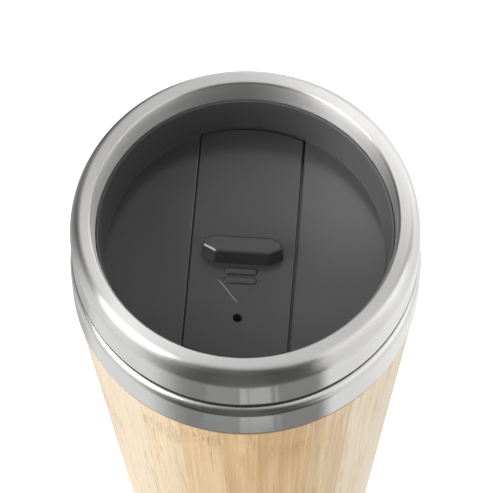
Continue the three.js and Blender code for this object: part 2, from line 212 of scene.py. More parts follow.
def holed(y, top, low, ease, steps=64):
    """Square plate with the round vent through it: at each angle a loop runs up the hole's wall, over its eased
    edge, out to the square's side and back underneath."""
    t = np.linspace(0, 2 * np.pi, steps, endpoint=False) + np.pi / 4
    c, s = np.cos(t), np.sin(t)
    reach = (VENT_HALF / np.maximum(np.abs(c), np.abs(s)))[:, None]
    rise = VENT_R + np.append(0.0, HOLE_OUT * ease)
    radii = np.concatenate([np.tile(rise, (steps, 1)), reach, reach], 1)
    heights = np.concatenate([[low], top - HOLE_DOWN * ease, [top, low]])
    points = np.stack([c[:, None] * radii, y + s[:, None] * radii, np.tile(heights, (steps, 1))], -1)
    return points.reshape(-1, 3), grid_faces(steps, len(heights), True, True)


def inset(corners, distance):
    """Convex outline drawn in by a distance: each corner moves along the sum of its two edge normals."""
    p = np.asarray(corners, float)
    run = np.roll(p, -1, 0) - p
    run /= np.hypot(*run.T)[:, None]
    inward = np.stack([-run[:, 1], run[:, 0]], 1)
    other = np.roll(inward, 1, 0)
    step = (inward + other) / (1 + (inward * other).sum(1))[:, None]
    return p + step * distance


LEG_POINTS = np.array([0.0, 0.07, 0.93])


def mound(levels, ease, steps=5):
    """Closed hump through a stack of outlines (corners, height), each with its corners eased and with two more
    points on every leg, so that all outlines count the same. A fan round the middle point caps either end; its
    triangles are written as quads that name their last corner twice."""
    rings = []
    for corners, height in levels:
        line = eased(np.c_[corners, np.full(len(corners), ease)], True, steps)[:, None]
        line = (line + (np.roll(line, -1, 0) - line) * LEG_POINTS[:, None]).reshape(-1, 2)
        rings.append(np.c_[line, np.full(len(line), height)])
    count = len(rings[0])
    points = np.concatenate([*rings, rings[0].mean(0)[None], rings[-1].mean(0)[None]])
    foot, crown, last = len(rings) * count, len(rings) * count + 1, (len(rings) - 1) * count
    here = np.arange(count)
    onward = (here + 1) % count
    fan_low = np.stack([np.full(count, foot), onward, here, here], 1)
    fan_top = np.stack([np.full(count, crown), last + here, last + onward, last + onward], 1)
    return points, np.concatenate([grid_faces(len(rings), count, False, True), fan_low, fan_top])


def shift(shell, x=0.0, z=0.0):
    """The same shell moved by x and z."""
    return shell[0] + np.array([x, 0.0, z]), shell[1]


def mesh_object(name, mesh, material):
    """Object at the origin for a finished mesh, with its material."""
    mesh.materials.append(material)
    obj = bpy.data.objects.new(name, mesh)
    bpy.context.scene.collection.objects.link(obj)
    return obj


def piece(name, shells, material, body, node, sharp=38.0, merge=2e-7):
    """One mesh object from closed shells in millimetres, which stands for one node. A corner that a face names twice
    is dropped, doubles are merged inside each shell, faces are turned outwards, and edges sharper than the given
    angle stay crisp."""
    work = bmesh.new()
    for points, faces in shells:
        part = bpy.data.meshes.new("part")
        polygons = [list(dict.fromkeys(face)) for face in faces.tolist()]
        part.from_pydata((points * MM).tolist(), [], polygons)
        first = len(work.verts)
        work.from_mesh(part)
        bpy.data.meshes.remove(part)
        work.verts.ensure_lookup_table()
        bmesh.ops.remove_doubles(work, verts=work.verts[first:], dist=merge)
    bmesh.ops.recalc_face_normals(work, faces=work.faces)
    mesh = bpy.data.meshes.new(name)
    work.to_mesh(mesh)
    work.free()
    mesh.shade_smooth()
    mesh.set_sharp_from_angle(angle=math.radians(sharp))
    obj = mesh_object(name, mesh, material)
    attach(obj, body)
    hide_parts(node)


# Node helpers


def add(tree, kind, sockets=None, **settings):
    """One node with its settings, and its input sockets set to values or linked to outputs."""
    node = tree.nodes.new(kind)
    for key, value in settings.items():
        setattr(node, key, value)
    for key, value in (sockets or {}).items():
        if isinstance(value, bpy.types.NodeSocket):
            tree.links.new(value, node.inputs[key])
        else:
            node.inputs[key].default_value = value
    return node


def calc(tree, operation, a, b=None):
    """Output of one Math node."""
    sockets = {0: a} if b is None else {0: a, 1: b}
    return add(tree, "ShaderNodeMath", sockets, operation=operation).outputs[0]


def times(tree, first, *others):
    """Product of the values."""
    for other in others:
        first = calc(tree, "MULTIPLY", first, other)
    return first


def plus(tree, first, *others):
    """Sum of the values."""
    for other in others:
        first = calc(tree, "ADD", first, other)
    return first


def less(tree, a, b):
    """First value minus the second."""
    return calc(tree, "SUBTRACT", a, b)


def between(tree, share, low, high):
    """Value that lies the given share of the way from low to high."""
    return plus(tree, low, times(tree, share, less(tree, high, low)))


def remap(tree, value, low, high, to_low=0.0, to_high=1.0, smooth=True):
    """Value mapped from one range to another and held at both ends."""
    kind = "SMOOTHSTEP" if smooth else "LINEAR"
    sockets = {0: value, 1: low, 2: high, 3: to_low, 4: to_high}
    return add(tree, "ShaderNodeMapRange", sockets, interpolation_type=kind).outputs[0]


def noise(tree, vector, scale, detail, roughness, distortion=0.0):
    """Height of a noise over a vector."""
    node = add(tree, "ShaderNodeTexNoise", {
        "Vector": vector, "Scale": scale, "Detail": detail, "Roughness": roughness, "Distortion": distortion,
    })
    return node.outputs[0]


def tint(tree, factor, first, second):
    """Colour between two colours."""
    return add(tree, "ShaderNodeMix", {0: factor, 6: first, 7: second}, data_type="RGBA").outputs[2]


def grey(value, blue=0.0):
    """Neutral colour of that value, with a trace of blue."""
    return value, value, value + blue, 1.0


def new_material(name):
    """Empty node material with its shader, ready for links."""
    material = bpy.data.materials.new(name)
    material.use_nodes = True
    return material, material.node_tree, material.node_tree.nodes["Principled BSDF"]


def set_sockets(shader, **values):
    """Sets the shader's own sockets, whose names have underscores here in place of spaces."""
    for label, value in values.items():
        shader.inputs[label.replace("_", " ")].default_value = value


def new_group(name, inputs, outputs):
    """Node group with named float inputs, each with its usual value, and named float outputs."""
    group = bpy.data.node_groups.new(name, "ShaderNodeTree")
    for label, value in inputs.items():
        socket = group.interface.new_socket(label, in_out="INPUT", socket_type="NodeSocketFloat")
        socket.default_value = value
    for label in outputs:
        group.interface.new_socket(label, in_out="OUTPUT", socket_type="NodeSocketFloat")
    return group, group.nodes.new("NodeGroupInput"), group.nodes.new("NodeGroupOutput")


def around(tree):
    """A point in Object coordinates, and its radius, unit direction and height about the mug's axis."""
    place = add(tree, "ShaderNodeTexCoord").outputs["Object"]
    x, y, z = add(tree, "ShaderNodeSeparateXYZ", {0: place}).outputs
    radius = calc(tree, "SQRT", plus(tree, times(tree, x, x), times(tree, y, y)))
    safe = calc(tree, "MAXIMUM", radius, 1e-5)
    return place, radius, calc(tree, "DIVIDE", x, safe), calc(tree, "DIVIDE", y, safe), z


RADIUS_SHARE = 1.3


def make_turning_marks():
    """Fine rings left by turning and polishing: noise that is dense along radius and height and slow round the
    axis, and a slow patch that stands for handling."""
    group, come, go = new_group("turning_marks", {"Density": 5200.0, "Run": 2.2}, ["Line", "Patch"])
    place, radius, cx, cy, z = around(group)
    run = come.outputs["Run"]
    up = times(group, plus(group, times(group, radius, RADIUS_SHARE), z), come.outputs["Density"])
    spot = add(group, "ShaderNodeCombineXYZ", {0: times(group, cx, run), 1: times(group, cy, run), 2: up}).outputs[0]
    group.links.new(noise(group, spot, 1.0, 3.0, 0.6), go.inputs["Line"])
    group.links.new(noise(group, place, 55.0, 3.0, 0.55), go.inputs["Patch"])
    return group


def make_moulded_grain():
    """Fine spark texture of a moulded face: two sizes of noise, and a slow patch for tone and gloss."""
    group, come, go = new_group("moulded_grain", {"Size": 2600.0}, ["Grain", "Patch"])
    place = add(group, "ShaderNodeTexCoord").outputs["Object"]
    fine = noise(group, place, come.outputs["Size"], 2.0, 0.6)
    wide = noise(group, place, 620.0, 2.0, 0.5)
    group.links.new(plus(group, times(group, fine, 0.7), times(group, wide, 0.3)), go.inputs["Grain"])
    group.links.new(noise(group, place, 38.0, 3.0, 0.55), go.inputs["Patch"])
    return group


TURNING_MARKS = make_turning_marks()
MOULDED_GRAIN = make_moulded_grain()


def use_group(tree, group, **values):
    """A node group placed in a material with its own values."""
    node = tree.nodes.new("ShaderNodeGroup")
    node.node_tree = group
    for label, value in values.items():
        node.inputs[label].default_value = value
    return node.outputs


def bump(tree, shader, height, strength, distance):
    """Bump of a height into the shader's normal."""
    node = add(tree, "ShaderNodeBump", {"Strength": strength, "Distance": distance, "Height": height})
    tree.links.new(node.outputs[0], shader.inputs["Normal"])


# Finishes. Places on the mug are in metres here, each as a start and an end of a smooth step.
STEEL_DARK, STEEL_LIGHT = (0.66, 0.655, 0.645, 1), (0.76, 0.755, 0.745, 1)
STEEL_MARK_DEPTH = 0.00002
LIP_BRUSHED_Z, NECK_BRUSHED_R = (0.1691, 0.1699), (0.0377, 0.0381)
# The hem values paint shade: a dark, non-metal band on the belly's turned-in edge stands in for the shadow of the
# groove's gap below it.
HEM_R, HEM_Z, HEM_SHADE_BLACK, HEM_DULL = (0.0415, 0.0420), (0.1541, 0.1547), grey(0.02), 0.6
NECK_DULLER = 1.5
BRUSH_STRETCH, QUARTER_TURN = 0.8, 0.25


def steel_finish(name, rough, spread, density, mark, rounded_z=(0.1630, 0.1665), rounded_dull=0.0, brushed=0.0):
    """Stainless steel: rings of polish and patches vary the gloss and tone. A rounded edge gets duller between two
    heights. A brushed value dulls the cup's lip and the inside of its neck, draws their highlights out across the
    brushing, and paints shade on the belly's turned-in edge: a dark, non-metal band for the groove's gap shadow."""
    material, tree, shader = new_material(name)
    marks = use_group(tree, TURNING_MARKS, Density=density)
    tone = plus(tree, times(tree, marks["Line"], 0.6), times(tree, marks["Patch"], 0.4))
    colour = tint(tree, remap(tree, tone, 0.3, 0.7), STEEL_DARK, STEEL_LIGHT)
    _, radius, _, _, z = around(tree)
    dull = remap(tree, z, *rounded_z, 0.0, rounded_dull)
    set_sockets(shader, Metallic=1.0)
    if brushed:
        lip = remap(tree, z, *LIP_BRUSHED_Z, 0.0, brushed)
        neck = remap(tree, radius, *NECK_BRUSHED_R, NECK_DULLER * brushed, 0.0)
        dull = calc(tree, "MAXIMUM", calc(tree, "MAXIMUM", lip, dull), neck)
        # Painted shade: the belly's lowest edge turns dark and non-metallic, standing in for the shadow in the groove's
        # gap.
        hem = times(tree, remap(tree, radius, *HEM_R), remap(tree, z, *HEM_Z, 1.0, 0.0))
        colour = tint(tree, hem, colour, HEM_SHADE_BLACK)
        dull = plus(tree, dull, times(tree, hem, HEM_DULL))
        tree.links.new(less(tree, 1.0, hem), shader.inputs["Metallic"])
        set_sockets(shader, Anisotropic=BRUSH_STRETCH, Anisotropic_Rotation=QUARTER_TURN)
        round_axis = add(tree, "ShaderNodeTangent", direction_type="RADIAL", axis="Z").outputs[0]
        tree.links.new(round_axis, shader.inputs["Tangent"])
    gloss = plus(tree, remap(tree, tone, 0.25, 0.75, rough - spread, rough + spread), dull)
    tree.links.new(colour, shader.inputs["Base Color"])
    tree.links.new(gloss, shader.inputs["Roughness"])
    bump(tree, shader, marks["Line"], mark, STEEL_MARK_DEPTH)
    return material


# The bowl wall's grey is lighter than the decks' grey of the same plastic: painted light for the key light falling on
# the wall.
BOWL_WALL_R, BOWL_WALL_LIT_GREY = (0.0348, 0.03505), grey(0.08, 0.0005)
PLASTIC_GRAIN_DEPTH, PLASTIC_IOR = 0.00004, 1.49


def plastic_finish(name, dark, light, rough, strength, spread=0.05, satin_wall=0.0):
    """Moulded plastic: a spark texture in the bump, slow patches in tone and gloss. A satin value dulls the lid's
    upright wall, outside its polished decks, and the wall is painted a lighter grey than the decks as painted light."""
    material, tree, shader = new_material(name)
    grain = use_group(tree, MOULDED_GRAIN)
    mix = plus(tree, times(tree, grain["Grain"], 0.4), times(tree, grain["Patch"], 0.6))
    colour = tint(tree, remap(tree, mix, 0.3, 0.7), dark, light)
    gloss = remap(tree, mix, 0.3, 0.7, rough - spread, rough + spread)
    if satin_wall:
        _, radius, _, _, _ = around(tree)
        upright = remap(tree, radius, *BOWL_WALL_R)
        gloss = plus(tree, gloss, times(tree, upright, satin_wall))
        # Painted light: the upright wall gets a lighter grey than the decks, standing in for the key light on it.
        colour = tint(tree, upright, colour, BOWL_WALL_LIT_GREY)
    tree.links.new(colour, shader.inputs["Base Color"])
    tree.links.new(gloss, shader.inputs["Roughness"])
    set_sockets(shader, IOR=PLASTIC_IOR)
    bump(tree, shader, grain["Grain"], strength, PLASTIC_GRAIN_DEPTH)
    return material


STRIPS = 24
STRIP_TURN = math.radians(-93.3)
TONE_SEED, HUE_SEED, KNUCKLE_SEED = 12863.0, 36983.0, 34412.75
KNUCKLE_LOW, KNUCKLE_HIGH, KNUCKLE_CORE, KNUCKLE_REACH = 0.01, 0.15, 0.0015, 0.009
SWAY, KNUCKLE_SWAY, STRIP_STEP = 0.012, 0.045, 7.37
BAMBOO_TAN, BAMBOO_HONEY, BAMBOO_PALE = (0.56, 0.335, 0.13, 1), (0.92, 0.675, 0.365, 1), (0.79, 0.675, 0.515, 1)
FIBRE_BROWN, SLIT_BROWN = (0.46, 0.27, 0.10, 1), (0.30, 0.165, 0.065, 1)
KNUCKLE_BROWN, GLUE_BROWN, END_SHADOW_BROWN = (0.45, 0.26, 0.11, 1), (0.42, 0.26, 0.13, 1), (0.12, 0.07, 0.03, 1)
# The end shade paints a shadow line along the bamboo's top edge, under the steel band's overhang.
END_SHADE_Z = (0.1368, 0.1374)
BAMBOO_BUMP, BAMBOO_DEPTH = 0.35, 0.00012


def bamboo_finish(name):
    """Turned bamboo: glued strips of differing tone and warmth, long streaks, fine fibres that crowd together in
    places, a knuckle with dark slits at a chance height on each strip, faint glue lines, a thin clear seal, and a
    painted shadow line along the top edge under the band."""
    material, tree, shader = new_material(name)
    place, _, cx, cy, z = around(tree)
    angle = calc(tree, "ARCTAN2", cy, cx)
    strip = times(tree, less(tree, angle, STRIP_TURN), STRIPS / (2 * math.pi))
    part = calc(tree, "FRACT", strip)
    number = calc(tree, "FLOORED_MODULO", calc(tree, "FLOOR", strip), float(STRIPS))

    def chance(seed):
        """One chance value for each strip."""
        node = add(tree, "ShaderNodeTexWhiteNoise", {"W": plus(tree, number, seed)}, noise_dimensions="1D")
        return node.outputs["Value"]

    knuckle_z = remap(tree, chance(KNUCKLE_SEED), 0.0, 1.0, KNUCKLE_LOW, KNUCKLE_HIGH, False)
    near = calc(tree, "ABSOLUTE", less(tree, z, knuckle_z))
    knuckle = remap(tree, near, KNUCKLE_CORE, KNUCKLE_REACH, 1.0, 0.0)
    sway = less(tree, noise(tree, place, 170.0, 1.0, 0.5), 0.5)
    sway = times(tree, sway, plus(tree, times(tree, knuckle, KNUCKLE_SWAY), SWAY))

    def along(across, length):
        """Coordinates that follow the strips: across the grain by direction, swayed most at a knuckle, and along it
        by height, with a jump from strip to strip."""
        sx = times(tree, plus(tree, cx, sway), across)
        sy = times(tree, plus(tree, cy, sway), across)
        sz = plus(tree, times(tree, z, length), times(tree, number, STRIP_STEP))
        return add(tree, "ShaderNodeCombineXYZ", {0: sx, 1: sy, 2: sz}).outputs[0]

    drift = noise(tree, along(9.0, 18.0), 1.0, 2.0, 0.5)
    streak = noise(tree, along(30.0, 12.0), 1.0, 4.0, 0.62, 0.3)
    fibre = noise(tree, along(105.0, 38.0), 1.0, 3.0, 0.6, 0.2)
    slit = noise(tree, along(92.0, 70.0), 1.0, 2.0, 0.55, 0.4)
    crowd = remap(tree, noise(tree, along(20.0, 20.0), 1.0, 2.0, 0.5), 0.42, 0.66)
    thick = calc(tree, "MAXIMUM", crowd, knuckle)
    line = times(tree, remap(tree, fibre, 0.46, 0.7), plus(tree, times(tree, thick, 0.65), 0.35))
    pore = times(tree, remap(tree, slit, 0.57, 0.68), thick)
    body = plus(tree, times(tree, chance(TONE_SEED), 0.46), times(tree, streak, 0.85), times(tree, drift, 0.5))
    base = tint(tree, remap(tree, body, 0.5, 1.32), BAMBOO_TAN, BAMBOO_HONEY)
    pale = remap(tree, chance(HUE_SEED), 0.0, 1.0, 0.05, 0.8, False)
    base = tint(tree, pale, base, BAMBOO_PALE)
    base = tint(tree, times(tree, line, 0.5), base, FIBRE_BROWN)
    base = tint(tree, times(tree, pore, 0.5), base, SLIT_BROWN)
    joint_mark = times(tree, knuckle, remap(tree, fibre, 0.35, 0.6), 0.25)
    base = tint(tree, joint_mark, base, KNUCKLE_BROWN)
    seam = calc(tree, "MINIMUM", part, less(tree, 1.0, part))
    glue = remap(tree, seam, 0.004, 0.02, 0.2, 0.0)
    base = tint(tree, glue, base, GLUE_BROWN)
    # Painted shadow: the bamboo's top edge turns dark brown, standing in for the shadow under the band's overhang.
    base = tint(tree, remap(tree, z, *END_SHADE_Z, 0.0, 0.9), base, END_SHADOW_BROWN)
    tree.links.new(base, shader.inputs["Base Color"])
    tree.links.new(remap(tree, fibre, 0.3, 0.7, 0.36, 0.5), shader.inputs["Roughness"])
    set_sockets(shader, Coat_Weight=0.15, Coat_Roughness=0.28)
    dents = plus(tree, times(tree, pore, 0.6), glue)
    bump(tree, shader, less(tree, times(tree, fibre, 0.4), dents), BAMBOO_BUMP, BAMBOO_DEPTH)
    return material


cup_steel = steel_finish(
    "cup_steel", rough=0.1, spread=0.035, density=5200.0, mark=0.2, rounded_dull=0.2, brushed=0.3,
)
band_steel = steel_finish(
    "band_steel", rough=0.11, spread=0.04, density=5200.0, mark=0.25, rounded_z=(0.1478, 0.1494), rounded_dull=0.16,
)
base_steel = steel_finish("base_steel", rough=0.24, spread=0.07, density=4200.0, mark=0.5)
bamboo = bamboo_finish("bamboo_strips")
lid_grey = plastic_finish(
    "lid_grey", grey(0.050, 0.0005), grey(0.058, 0.0005), rough=0.15, strength=0.02, spread=0.03, satin_wall=0.35,
)
slider_grey = plastic_finish(
    "slider_grey", grey(0.047, 0.0005), grey(0.053, 0.0005), rough=0.2, strength=0.01, spread=0.03,
)
ring_black = plastic_finish("ring_black", grey(0.018, 0.002), grey(0.028, 0.002), rough=0.55, strength=0.3)
silicone = plastic_finish("silicone_grey", grey(0.22, 0.005), grey(0.28, 0.005), rough=0.62, strength=0.15)
pad_grey = plastic_finish("pad_grey", grey(0.03, 0.002), grey(0.05, 0.002), rough=0.75, strength=0.6)

# Cup of drawn steel: floor, tapered wall, neck, lip with a slight crown, shoulder, belly with a turned-in edge.
# The rows of these profiles are radius, height and ease of a corner.
cup_outside = np.concatenate([
    eased([
        (0, CUP_FLOOR_Z, 0), (CUP_FLOOR_R, CUP_FLOOR_Z, 6), (NECK_OUT, NECK_FOOT, 12), (NECK_OUT, NECK_TOP, 1),
        (38.8, LIP_Z - 1, 0.4), (40.0, LIP_Z - 1, 0.5), (42.3, LIP_Z - 5.5, 2.0), (42.5, BELLY_FOOT + 1.6, 0.4),
        (41.9, BELLY_FOOT, 0.1), (42.7, BELLY_FOOT, 0.1),
    ]),
    arc(42.7, BELLY_FOOT, BELLY, BELLY_FOOT + 1.1, False, 10),
    arc(BELLY, LIP_Z - SHOULDER_DROP, LIP_OUT, LIP_Z - 0.02, True, 30),
])
cup_inside = np.concatenate([
    [(39.9, LIP_Z), (39.2, LIP_Z)],
    arc(LIP_ROLL_TOP, LIP_Z, LIP_ROLL_IN, LIP_Z - LIP_ROLL_DROP, False, 24),
    eased([
        (LIP_ROLL_IN, LIP_Z - LIP_ROLL_DROP - 0.1, 0), (NECK, NECK_TOP, 1), (NECK, NECK_FOOT, 12),
        (CUP_FLOOR_R - STEEL, CUP_FLOOR_Z + STEEL, 5.2), (0, CUP_FLOOR_Z + STEEL, 0),
    ], steps=10),
])
piece("steel_cup", [turned(np.concatenate([cup_outside, cup_inside]))], cup_steel, "mug", "cup")

# Shell: rounded band on show, tube inside the bamboo
shell_line = np.concatenate([
    eased([
        (shell_side(SLEEVE_FOOT), SLEEVE_FOOT, 0), (shell_side(SLEEVE_TOP), SLEEVE_TOP, 0.1),
        (BAND, SLEEVE_TOP, 0.12), (BAND, BAND_TOP - 4, 0),
    ]),
    arc(BAND, BAND_TOP - BAND_ROUND_DROP, BAND - BAND_ROUND_IN, BAND_TOP, True, 24),
    eased([
        (41.3, BAND_TOP, 0), (RING_IN, BAND_TOP, 0.1), (RING_IN, BAND_TOP - STEEL, 0.1), (41.3, BAND_TOP - STEEL, 0.5),
        (BAND - STEEL, BAND_TOP - 3.4, 0.9), (BAND - STEEL, SLEEVE_TOP + STEEL, 0.2),
        (shell_side(SLEEVE_TOP + STEEL) - STEEL, SLEEVE_TOP + STEEL, 0.2),
        (shell_side(SLEEVE_FOOT) - STEEL, SLEEVE_FOOT, 0),
    ]),
])
piece("steel_shell", [turned(shell_line, closed=True)], band_steel, "mug", "outer_shell")

# Bamboo sleeve with eased ends
high, low = SLEEVE_TOP - SLEEVE_END_GAP, SLEEVE_FOOT + SLEEVE_END_GAP
below, above = high - SLEEVE_END, low + SLEEVE_END
sleeve_wall = np.linspace(above, below, 24)
sleeve_line = np.concatenate([
    eased([(bamboo_side(low) - SLEEVE_WALL, low, 0), (bamboo_side(low), low, 0.5), (bamboo_side(above), above, 0)]),
    np.stack([bamboo_side(sleeve_wall), sleeve_wall], 1)[1:-1],
    eased([(bamboo_side(below), below, 0), (bamboo_side(high), high, 0.2), (bamboo_side(high) - SLEEVE_WALL, high, 0)]),
])
piece("bamboo_tube", [turned(sleeve_line, closed=True)], bamboo, "mug", "bamboo_sleeve")

# Dark ring in the groove
ring_line = eased([
    (RING_IN, BAND_TOP, 0.2), (RING_OUT, BAND_TOP, 0.2), (RING_OUT, BAND_TOP + RING_TALL, 0.3),
    (RING_IN, BAND_TOP + RING_TALL, 0.3),
], True)
piece("groove_ring", [turned(ring_line, closed=True)], ring_black, "mug", "joint_ring")

# Base cap and foot pad
cap_line = eased([
    (0, PAD_TALL, 0), (27.0, PAD_TALL, 0.2), (27.0, 0.7, 0.3), (FOOT_RADIUS, 0.7, 0.6),
    (FOOT_RADIUS, SLEEVE_FOOT, 0.25), (28.3, SLEEVE_FOOT, 0.2), (28.3, 9.9, 0.3), (27.3, 9.9, 0.3),
    (27.3, 2.4, 0.3), (0, 2.4, 0),
])
piece("base_steel_cap", [turned(cap_line)], base_steel, "mug", "base_cap")
pad_line = eased([(0, 0, 0), (PAD_R, 0, 0.45), (PAD_R, PAD_TALL, 0.1), (0, PAD_TALL, 0)])
piece("foot_disc", [turned(pad_line)], pad_grey, "mug", "foot_pad")


# Lid: rim, drafted bowl wall, fillet to the decks, plug skirt with the gasket groove, two decks and the channel's floor


def lid_ring(deck_turns=100, channel_turns=36, drop_steps=12, gap=1e-4):
    """Ring of loops round the axis. A loop follows the deck profile, or inside the two sectors where the channel
    meets the wall the profile whose wall goes straight down to the channel's floor; each sector's border has a loop
    of either kind."""
    right, left = math.asin(CHANNEL_RIGHT / BOWL), math.asin(CHANNEL_LEFT / BOWL)
    back, front = np.pi / 2, 3 * np.pi / 2
    spans = [
        (np.linspace(-back + right + gap, back - right - gap, deck_turns), False),
        (np.linspace(back - right, back + left, channel_turns), True),
        (np.linspace(back + left + gap, front - left - gap, deck_turns), False),
        (np.linspace(front - left, front + right, channel_turns), True),
    ]
    outer = guarded(eased([
        (SKIRT_IN, -8, 0), (SKIRT_IN, PLUG_Z, 0.3), (PLUG, PLUG_Z, 0.8), (PLUG, GROOVE_LOW, 0.1),
        (GROOVE_IN, GROOVE_LOW, 0.1), (GROOVE_IN, GROOVE_TOP, 0.1), (PLUG, GROOVE_TOP, 0.1), (PLUG, 8.4, 0.3),
        (RIM_BEAD, 9.2, 0.3), (RIM_BEAD, RIM_Z, 0.2), (36.3, RIM_Z, 0.25), (BOWL, FILLET, 0),
    ]))
    fillet = arc(BOWL, FILLET, BOWL - FILLET, 0.0, True, drop_steps)
    deck = np.concatenate([outer, fillet, [(BOWL - FILLET, DECK_EDGE_LOW), (SKIRT_IN, DECK_EDGE_LOW)]])
    drop = np.stack([np.full(drop_steps, BOWL), np.linspace(FILLET, CHANNEL_Z, drop_steps)], 1)
    channel = np.concatenate([outer, drop, [(PLATE_END, CHANNEL_Z), (SKIRT_IN, CHANNEL_Z)]])
    t = np.concatenate([s for s, _ in spans])
    inside = np.concatenate([np.full(len(s), kind) for s, kind in spans])
    line = np.where(inside[:, None, None], channel[None], deck[None])
    points = np.stack([np.cos(t)[:, None] * line[..., 0], np.sin(t)[:, None] * line[..., 0], line[..., 1]], -1)
    return points.reshape(-1, 3), grid_faces(len(t), len(deck), True, True)


def deck_half(sign, rows=121, round_steps=6):
    """One D-shaped deck: rows run from the channel's eased edge straight out to the fillet's foot circle."""
    edge, foot = CHANNEL_RIGHT if sign > 0 else CHANNEL_LEFT, BOWL - FILLET
    top_y = math.sqrt(foot**2 - edge**2)
    y = top_y * np.sin(np.linspace(-np.pi / 2, np.pi / 2, rows))
    reach = (np.sqrt(foot**2 - y**2) - edge)[:, None]
    off = EDGE_EASE * (1 - np.cos(np.linspace(0, np.pi / 2, round_steps)))
    near = np.minimum(off[None], reach)
    far = near[:, -1:] + (reach - near[:, -1:]) * np.array([[0.01, 0.34, 0.67, 1.0]])
    x = edge + np.concatenate([near, far], 1)
    drop = fall(x - edge, EDGE_EASE)
    return plate(sign * x, np.broadcast_to(y[:, None], x.shape), -drop, DECK_LOW)


def circle_y(radius):
    """Far half of a circle as a function of x."""
    return lambda x: np.sqrt(np.maximum(radius**2 - x**2, 0))


def level(value):
    """The same y at every x."""
    return lambda x: np.full_like(x, value)


def minus(curve, move=0.0):
    """The mirrored curve, moved along y."""
    return lambda x: move - curve(x)


slot_in, slot_out = circle_y(SLOT_NEAR), circle_y(SLOT_FAR)
floor_y, rail_foot_y, rail_y = circle_y(FLOOR_REACH), circle_y(SKIRT_IN + 0.3), circle_y(RAIL_REACH)
vent_open = VENT_Y - TRAVEL
lid_shells = [lid_ring(), deck_half(1), deck_half(-1)]
for sign in (-1, 1):
    for inner, outer, near_y, end_y, top, low in (
        (RAIL_HALF, SLOT_HALF, floor_y, floor_y, CHANNEL_Z, FLOOR_LOW),
        (SLOT_HALF, VENT_HALF, floor_y, slot_in, CHANNEL_Z, FLOOR_LOW),
        (RAIL_HALF, RAIL_HALF + 1.5, rail_foot_y, rail_foot_y, RAIL_TOP - 0.05, FLOOR_LOW),
        (RAIL_HALF - 0.2, RAIL_REACH - 0.1, rail_y, rail_y, RAIL_TOP, RAIL_LOW),
    ):
        a, b = sorted((sign * inner, sign * outer))
        lid_shells.append(bar(a, b, minus(near_y), end_y, top, low))
for half, near_y, end_y in (
    (VENT_HALF, level(vent_open + VENT_HALF), slot_in),
    (VENT_HALF, minus(floor_y), level(vent_open - VENT_HALF)),
    (SLOT_HALF, slot_out, floor_y),
):
    lid_shells.append(bar(-half, half, near_y, end_y, CHANNEL_Z, FLOOR_LOW))
lid_shells.append(holed(vent_open, CHANNEL_Z, FLOOR_LOW, 0.1))
piece("lid_bowl", [shift(s, z=DECK_Z) for s in lid_shells], lid_grey, "lid", "lid")

# Gasket in the plug's groove: two wiping lips
gasket_line = eased([
    (35.8, -9.1, 0.2), (PLUG, -9.1, 0.3), (36.95, -8.6, 0.25), (36.7, -7.9, 0.2), (36.95, -7.2, 0.25),
    (PLUG, -6.5, 0.3), (35.8, -6.5, 0.2),
], True)
piece("lid_seal_ring", [turned(gasket_line, DECK_Z, True)], silicone, "lid", "lid_gasket")

# Slider: plate in four parts round the vent's square, side flanges under the rails, thumb tab and arrow mark
far_y = circle_y(PLATE_END)
front_y = minus(far_y, FRONT_SHIFT)
ease = EDGE_EASE
slider_shells = [
    bar(-PLATE_HALF, -VENT_HALF, front_y, far_y, 0.0, PLATE_LOW, (ease, 0), (ease, ease)),
    bar(VENT_HALF, PLATE_HALF, front_y, far_y, 0.0, PLATE_LOW, (0, ease), (ease, ease)),
    bar(-VENT_HALF, VENT_HALF, front_y, level(VENT_Y - VENT_HALF), 0.0, PLATE_LOW, (0, 0), (ease, 0)),
    bar(-VENT_HALF, VENT_HALF, level(VENT_Y + VENT_HALF), far_y, 0.0, PLATE_LOW, (0, 0), (0, ease)),
    holed(VENT_Y, 0.0, PLATE_LOW, 0.18),
    bar(-PLATE_HALF - FLANGE_OUT, -PLATE_HALF + FLANGE_LAP, front_y, far_y, FLANGE_TOP, PLATE_LOW),
    bar(PLATE_HALF - FLANGE_LAP, PLATE_HALF + FLANGE_OUT, front_y, far_y, FLANGE_TOP, PLATE_LOW),
]


def tab_outline(half, front_half, front, shoulder, rear_shoulder, rear, rear_half):
    """Eight corners of the thumb tab, anticlockwise from the front left."""
    return np.array([
        (-front_half, -front), (front_half, -front), (half, -shoulder), (half, rear_shoulder),
        (rear_half, rear), (-rear_half, rear), (-half, rear_shoulder), (-half, -shoulder),
    ])


def tab_side(k):
    """Outline of the tab's drafted side at a share k of its height."""
    return tab_foot * (1 - k) + tab_top * k


def pill(y, length, width, steps=20):
    """Outline of a round-ended bar: two half circles."""
    t = np.linspace(-np.pi / 2, np.pi / 2, steps)
    r, reach = width / 2, (length - width) / 2
    right = np.stack([reach + r * np.cos(t), r * np.sin(t)], 1)
    return np.concatenate([right, -right]) + np.array([0.0, y])


def pillow(outline, height, draw, steps=6):
    """Levels of a low hump with a round edge: the outline drawn in along a quarter round up to the height."""
    levels = [(outline, MARK_ROOT)]
    for a in np.linspace(0, np.pi / 2, steps):
        levels.append((inset(outline, draw * (1 - math.cos(a))), height * math.sin(a)))
    return levels + [(inset(outline, draw + 0.1), height)]


tab_foot = tab_outline(
    half=10.3, front_half=7.0, front=3.8, shoulder=2.0, rear_shoulder=1.0, rear=2.4, rear_half=7.6,
)
tab_top = tab_outline(
    half=9.7, front_half=6.4, front=3.0, shoulder=1.4, rear_shoulder=0.4, rear=1.5, rear_half=7.0,
)
tab_levels = [(tab_foot, -0.4), (tab_foot, 0.0)]
tab_levels += [(tab_side(k), TAB_H * k) for k in (0.03, BEVEL_FOOT - 0.02, BEVEL_FOOT)]
tab_levels += [(inset(tab_side(BEVEL_FOOT), TAB_BEVEL + more), TAB_H) for more in (0.0, 0.12)]
slider_shells.append(shift(mound(tab_levels, 0.3), x=TAB_PLAY))

